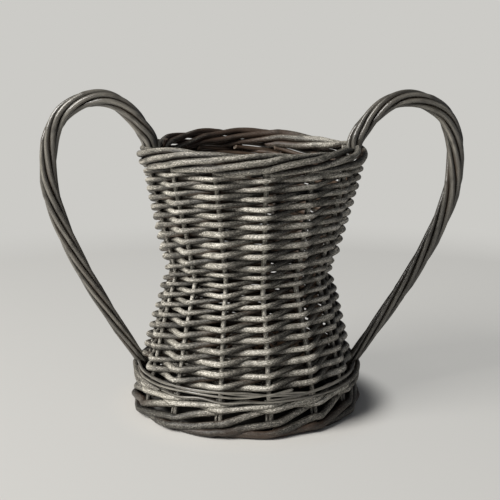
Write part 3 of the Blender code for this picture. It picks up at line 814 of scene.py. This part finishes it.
def baseWeaverLine(rod):
    endHeight = weaverHeight(lowerStart, lowerPitch, -1 - weave["endShare"])
    weaveEnd = (stakeLine(endHeight) - wall["stakeRadius"] - 2 * weave["lowerButt"] - 0.0009
                - 2 * wall["clearance"] - base["weaverRadius"])
    pitch = 2 * (2 * base["weaverRadius"] + wall["rowGap"])
    reach = base["stickRadius"] + base["weaverRadius"] + wall["clearance"]
    crossings = int((weaveEnd - base["weaveStart"]) / pitch * wall["stakes"]) - rod * wall["stakes"] // 2
    line = []
    steps = (crossings - 1) * 14
    for step in range(steps + 1):
        crossing = step / 14
        radius = base["weaveStart"] + pitch * (crossing / wall["stakes"] + rod / 2)
        stride = 2 * radius * math.sin(space / 2)
        lift = reach / math.sqrt(1 - (2 * reach / stride) ** 2)
        swing = -sway(crossing + rod, 0.6)
        line.append(placed(radius * (1 - 0.5 * (1 - chord(crossing))), stakeAngle(crossing, baseHeight),
                           baseHeight + swing * lift))
    return line


for rod in range(2):
    line = baseWeaverLine(rod)
    addRod(f"baseRod{rod + 1}", line, [base["fullness"] * base["weaverRadius"]] * len(line), baseWillow, 420 + rod,
           f"base_weaver_{rod + 1}", wandering=0.3)


# The middle of the base, woven with two thin rods.
def baseCentreLine(rod):
    reach = base["stickRadius"] + base["centreRadius"]
    inner = base["centreStart"]
    turns = (base["weaveStart"] - base["weaverRadius"] - inner) / (2 * base["centrePitch"])
    line = []
    for step in range(int(turns * wall["stakes"]) * 14 + 1):
        crossing = step / 14
        radius = inner + 2 * base["centrePitch"] * (crossing / wall["stakes"] + rod / 2)
        swing = -sway(crossing + rod, 0.6)
        line.append(placed(radius, stakeAngle(crossing, baseHeight), baseHeight + swing * reach))
    return line


for rod in range(2):
    line = baseCentreLine(rod)
    addRod(f"baseCentreRod{rod + 1}", line, [base["centreRadius"]] * len(line), baseWillow, 430 + rod,
           None, wandering=0.3)
print("base woven")


# Handles: six rods roped round a bow. Their thin ends are laid round the foot.
def handleRoute():
    knots = smoothLine([Vector((radius, 0, height)) for radius, height in handle["line"]], 12)
    marks = [0.0]
    for before, after in zip(knots, knots[1:]):
        marks.append(marks[-1] + (after - before).length)
    return knots, [mark / marks[-1] for mark in marks]


# Like placed, but the handles don't sag with the rim.
def onHandle(radius, angle, height):
    spot = placed(radius, angle, height)
    return Vector((spot.x, spot.y, height))


def handleRodRadius(share):
    return float(np.interp(share, *zip(*handle["thickness"])))


def tailLine(handleAngle, way, level, dice):
    height = handle["tailHeights"][way][level] + dice.uniform(-0.4, 0.4) * handle["tailStray"]
    knots = [placed(radius, handleAngle + way * space * spaces,
                    height + lift + fan * (level - 1) + dice.uniform(-0.3, 0.3) * handle["tailStray"])
             for (spaces, radius, lift), fan in zip(handle["tail"], handle["tailFan"])]
    last = handle["tailSpaces"][level]
    knots += [placed(handle["tailRadius"] * (1 - 0.4 * (1 - chord(spaces))), handleAngle + way * space * spaces,
                     height + dice.uniform(-1, 1) * handle["tailStray"]) for spaces in spread(3, last, 0.5)]
    return smoothLine(knots, 6)


def handleRodLine(handleAngle, rod, dice):
    route, shares = handleRoute()
    line, radii, outward = [], [], []
    thickness = handle["rodShare"] * (1 + dice.uniform(-1, 1) * handle["unlike"])
    for step, (spot, share) in enumerate(zip(route, shares)):
        before, after = route[max(step - 1, 0)], route[min(step + 1, len(route) - 1)]
        along = (after - before).normalized()
        inward = Vector((along.z, 0, -along.x))
        radius = handleRodRadius(share)
        turned = handle["turns"] * share * (1 + handle["turnsEarly"] * (1 - share))
        turn = 2 * math.pi * (rod / handle["rods"] + 1 / 12 - turned)
        aside = inward * math.cos(turn) + Vector((0, math.sin(turn), 0))
        local = spot + aside * handle["ropeSize"] * radius
        line.append(onHandle(math.hypot(local.x, local.y), handleAngle + math.atan2(local.y, local.x), local.z))
        # outward points away from the bow, so the rods' sides in the rope's creases get painted shade.
        way = math.copysign(1, math.cos(handleAngle))
        outward.append(Vector((aside.x * way, aside.y * way, aside.z)))
        radii.append(radius * thickness)
    way = 1 if math.sin(turn) > 0.3 or abs(math.sin(turn)) <= 0.3 and math.cos(turn) < 0 else -1
    level = 1 + round(math.cos(turn))
    tail = tailLine(handleAngle, way, min(2, max(0, level)), dice)
    run = (line[-1] - line[-2]).normalized()
    reach = handle["tailBend"] * (tail[0] - line[-1]).length
    tailRun = (tail[1] - tail[0]).normalized()
    bend = interpolate_bezier(line[-1], line[-1] + run * reach, tail[0] - tailRun * reach, tail[0], 17)[1:-1]
    left = np.linspace(1, 0, len(bend) + len(tail) + 1)[1:] ** handle["tailTaper"]
    thin = [float(value) for value in handle["tip"] + (radii[-1] - handle["tip"]) * left]
    shade = [-0.3] * len(line) + list(np.linspace(-0.3, 0.1, len(thin)))
    outward += [Vector((spot.x, spot.y, 0)).normalized() for spot in bend + tail]
    return line + bend + tail, radii + thin, shade, outward


cadRods = {0: 1, 2: 2, 3: 3, 5: 4}   # the solids have four rods to a handle
number = 460
for side, angle in zip(("right", "left"), handle["angles"]):
    route, shares = handleRoute()
    # The bow is painted dark all over, as shade inside the rope.
    addRod(f"{side}HandleBow", [onHandle(spot.x, angle, spot.z) for spot in route],
           [handleRodRadius(share) * 0.97 for share in shares], handleWillow, number, None,
           wandering=0.4, unevenness=0.03, shade=[-1.5] * len(route))
    for rod in range(handle["rods"]):
        line, radii, shade, outward = handleRodLine(angle, rod, dice)
        number += 1
        node = f"{side}_handle_rod_{cadRods[rod]}" if rod in cadRods else None
        addRod(f"{side}HandleRod{rod + 1}", line, radii, handleWillow, number, node,
               wandering=0.4, unevenness=0.03, shade=shade, outward=outward)
    for turn, knots in enumerate(handle["bands"]):
        band = smoothLine([placed(radius, angle + space * spaces, height) for spaces, radius, height in knots], 8)
        number += 1
        addRod(f"{side}HandleBand{turn + 1}", band, [handle["bandRadius"]] * len(band), wallWillow, number + 20,
               None, shade=[handle["bandShade"]] * len(band))
print("handles roped")

# Stage: a pale floor that fades into a pale room, with a painted shadow where the basket stands.
stage = {
    "floorColour": "#dddcd8",
    "roomColour": "#cccbc7",
    "floorSize": 6.0,
    "fadeFrom": 0.20,            # distance from the basket where the floor starts to fade, for the camera only
    "fadeTo": 0.72,
    "paintedShadowColour": "#2c2a27",  # painted shadow: the floor is coloured dark where the basket stands, so that the gaps of the foot look deep
    "paintedShadowFrom": 0.062,
    "paintedShadowTo": 0.074,
    "softenFrom": 0.079,         # outside the foot the shadow is made paler, by this share of room colour
    "softenTo": 0.107,
    "softening": 0.68,
    "ambient": 0.10,
    "ambientColour": "#e6e9f0",
}
floorShape = bmesh.new()
bmesh.ops.create_grid(floorShape, x_segments=2, y_segments=2, size=stage["floorSize"])
floorMesh = bpy.data.meshes.new("floor")
floorShape.to_mesh(floorMesh)
floorShape.free()
floor = bpy.data.objects.new("floor", floorMesh)
bpy.context.scene.collection.objects.link(floor)
floorMaterial = bpy.data.materials.new("paleFloor")
floorMaterial.use_nodes = True
tree = floorMaterial.node_tree
floorShader = tree.nodes["Principled BSDF"]
floorShader.inputs["Roughness"].default_value = 0.9
floorShader.inputs["Specular IOR Level"].default_value = 0.1
floorPlace = addNode(tree, "ShaderNodeTexCoord")
distance = addNode(tree, "ShaderNodeVectorMath", {"operation": "LENGTH"}, None, {0: floorPlace.outputs["Object"]})
# Painted shadow under the basket.
paintedShadow = addNode(tree, "ShaderNodeMapRange", None,
                  {"From Min": stage["paintedShadowFrom"], "From Max": stage["paintedShadowTo"]},
                  {"Value": distance.outputs["Value"]})
floorTint = addNode(tree, "ShaderNodeMix", {"data_type": "RGBA"},
                    {"A": linear(stage["paintedShadowColour"]), "B": linear(stage["floorColour"])},
                    {"Factor": paintedShadow.outputs["Result"]})
tree.links.new(floorTint.outputs["Result"], floorShader.inputs["Base Color"])
fade = addNode(tree, "ShaderNodeMapRange", {"interpolation_type": "SMOOTHSTEP"},
               {"From Min": stage["fadeFrom"], "From Max": stage["fadeTo"]}, {"Value": distance.outputs["Value"]})
soften = addNode(tree, "ShaderNodeMapRange", {"interpolation_type": "SMOOTHSTEP"},
                 {"From Min": stage["softenFrom"], "From Max": stage["softenTo"], "To Max": stage["softening"]},
                 {"Value": distance.outputs["Value"]})
paler = addNode(tree, "ShaderNodeMath", {"operation": "MAXIMUM"}, None,
                {0: fade.outputs["Result"], 1: soften.outputs["Result"]})
floorRays = addNode(tree, "ShaderNodeLightPath")
fadeShare = addNode(tree, "ShaderNodeMath", {"operation": "MULTIPLY"}, None,
                    {0: paler.outputs[0], 1: floorRays.outputs["Is Camera Ray"]})
roomGlow = addNode(tree, "ShaderNodeEmission", None, {"Color": linear(stage["roomColour"]), "Strength": 1.0})
faded = addNode(tree, "ShaderNodeMixShader", None, None,
                {0: fadeShare.outputs[0], 1: floorShader.outputs[0], 2: roomGlow.outputs[0]})
tree.links.new(faded.outputs[0], tree.nodes["Material Output"].inputs["Surface"])
floorMesh.materials.append(floorMaterial)

world = bpy.data.worlds.new("paleRoom")
bpy.context.scene.world = world
world.use_nodes = True
tree = world.node_tree
tree.nodes.clear()
rays = addNode(tree, "ShaderNodeLightPath")
seen = addNode(tree, "ShaderNodeMath", {"operation": "MAXIMUM"}, None,
               {0: rays.outputs["Is Camera Ray"], 1: rays.outputs["Is Transmission Ray"]})
lit = addNode(tree, "ShaderNodeBackground", None,
              {"Color": linear(stage["ambientColour"]), "Strength": stage["ambient"]})
shown = addNode(tree, "ShaderNodeBackground", None, {"Color": linear(stage["roomColour"]), "Strength": 1.0})
mixed = addNode(tree, "ShaderNodeMixShader", None, None,
                {0: seen.outputs[0], 1: lit.outputs[0], 2: shown.outputs[0]})
addNode(tree, "ShaderNodeOutputWorld", None, None, {"Surface": mixed.outputs[0]})

lamps = {
    "key": {"place": (-0.97, -0.60, 0.92), "size": 0.7, "power": 26.5, "colour": "#fffcf8"},
    "fill": {"place": (0.9, -0.8, 0.5), "size": 0.9, "power": 0.6, "colour": "#eef2ff"},
}
for name, lamp in lamps.items():
    light = bpy.data.lights.new(name, "AREA")
    light.size = lamp["size"]
    light.energy = lamp["power"]
    light.color = linear(lamp["colour"])[:3]
    source = bpy.data.objects.new(name, light)
    source.location = lamp["place"]
    source.rotation_euler = (Vector((0, 0, 0.1)) - Vector(lamp["place"])).to_track_quat("-Z", "Y").to_euler()
    bpy.context.scene.collection.objects.link(source)

# Camera: the photograph's angle, a little above the rim.
view = {"place": (-0.0009, -0.675, 0.2484), "aim": (-0.0009, 0.0, 0.1073), "lens": 72.0}
cameraData = bpy.data.cameras.new("camera")
cameraData.lens = view["lens"]
camera = bpy.data.objects.new("camera", cameraData)
camera.location = view["place"]
camera.rotation_euler = (Vector(view["aim"]) - Vector(view["place"])).to_track_quat("-Z", "Y").to_euler()
bpy.context.scene.collection.objects.link(camera)
bpy.context.scene.camera = camera
bpy.context.scene.view_settings.view_transform = "Standard"
